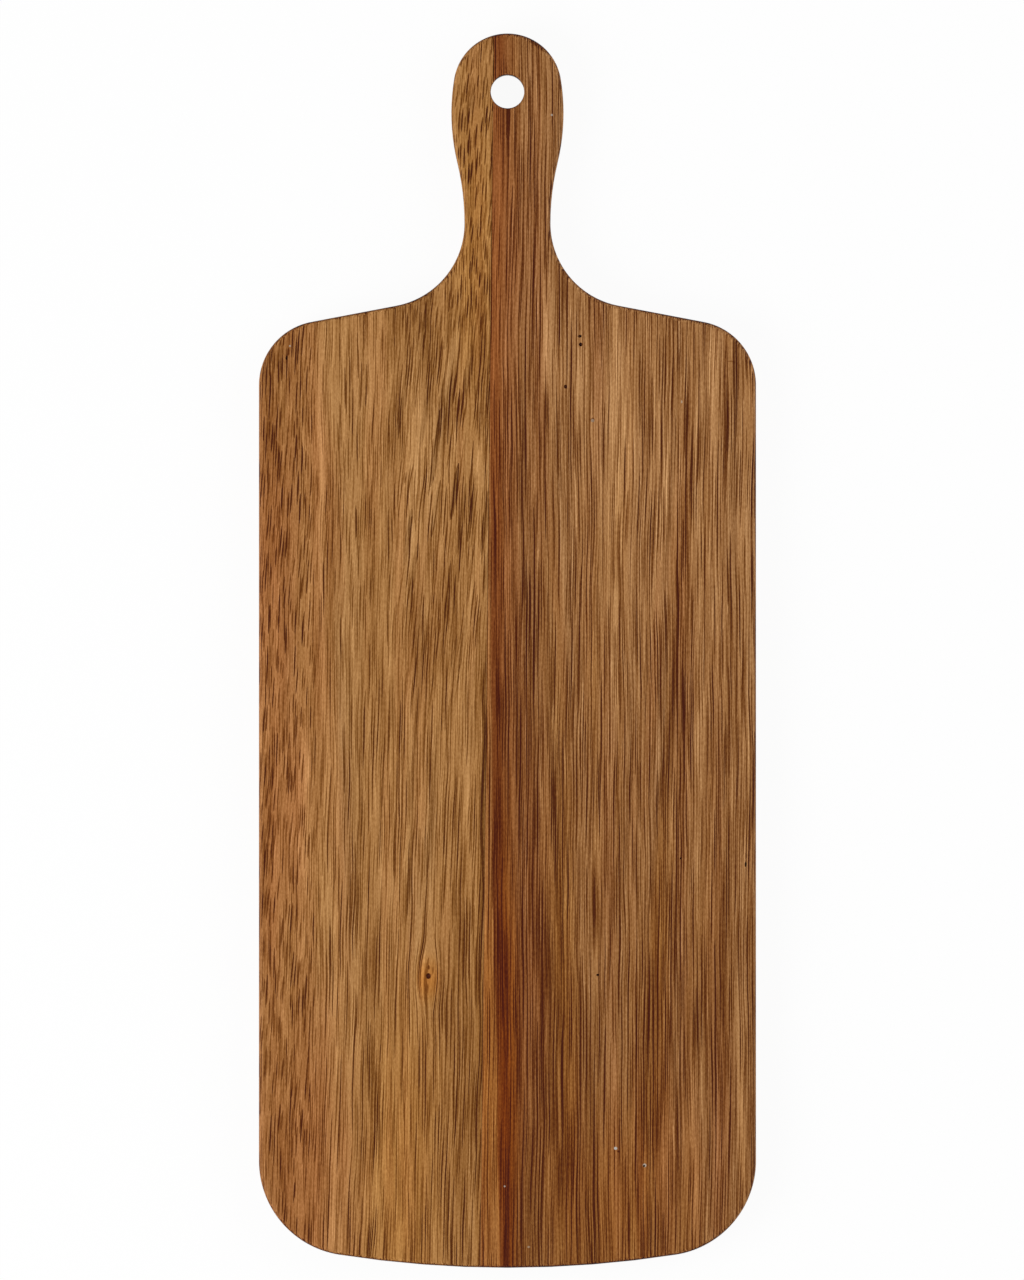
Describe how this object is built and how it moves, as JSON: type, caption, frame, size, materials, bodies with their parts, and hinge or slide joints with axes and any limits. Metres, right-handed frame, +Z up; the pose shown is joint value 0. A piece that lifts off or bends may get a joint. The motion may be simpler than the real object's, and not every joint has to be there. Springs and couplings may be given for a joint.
{
  "type": "paddle charcuterie board",
  "caption": "Flat hardwood serving board of edge-glued staves, with a waisted handle, rounded corners, eased edges and a drilled hanging hole.",
  "frame": {"origin": "middle of the bounding box of the underside, on the surface the board lies on", "axes": "+X across the blade to the right seen from above with the handle away from you, +Y along the board towards the handle, +Z up out of the serving face"},
  "size_m": [0.178, 0.442, 0.015],
  "materials": {
    "left_stave_wood": "oiled satin, golden brown",
    "right_stave_wood": "oiled satin, red-brown",
    "cured_glue": "cured glue squeezed to a thin film"
  },
  "bodies": {
    "root": {"left_stave": "left_stave_wood", "right_stave": "right_stave_wood", "glue_line": "cured_glue"}
  },
  "joints": []
}
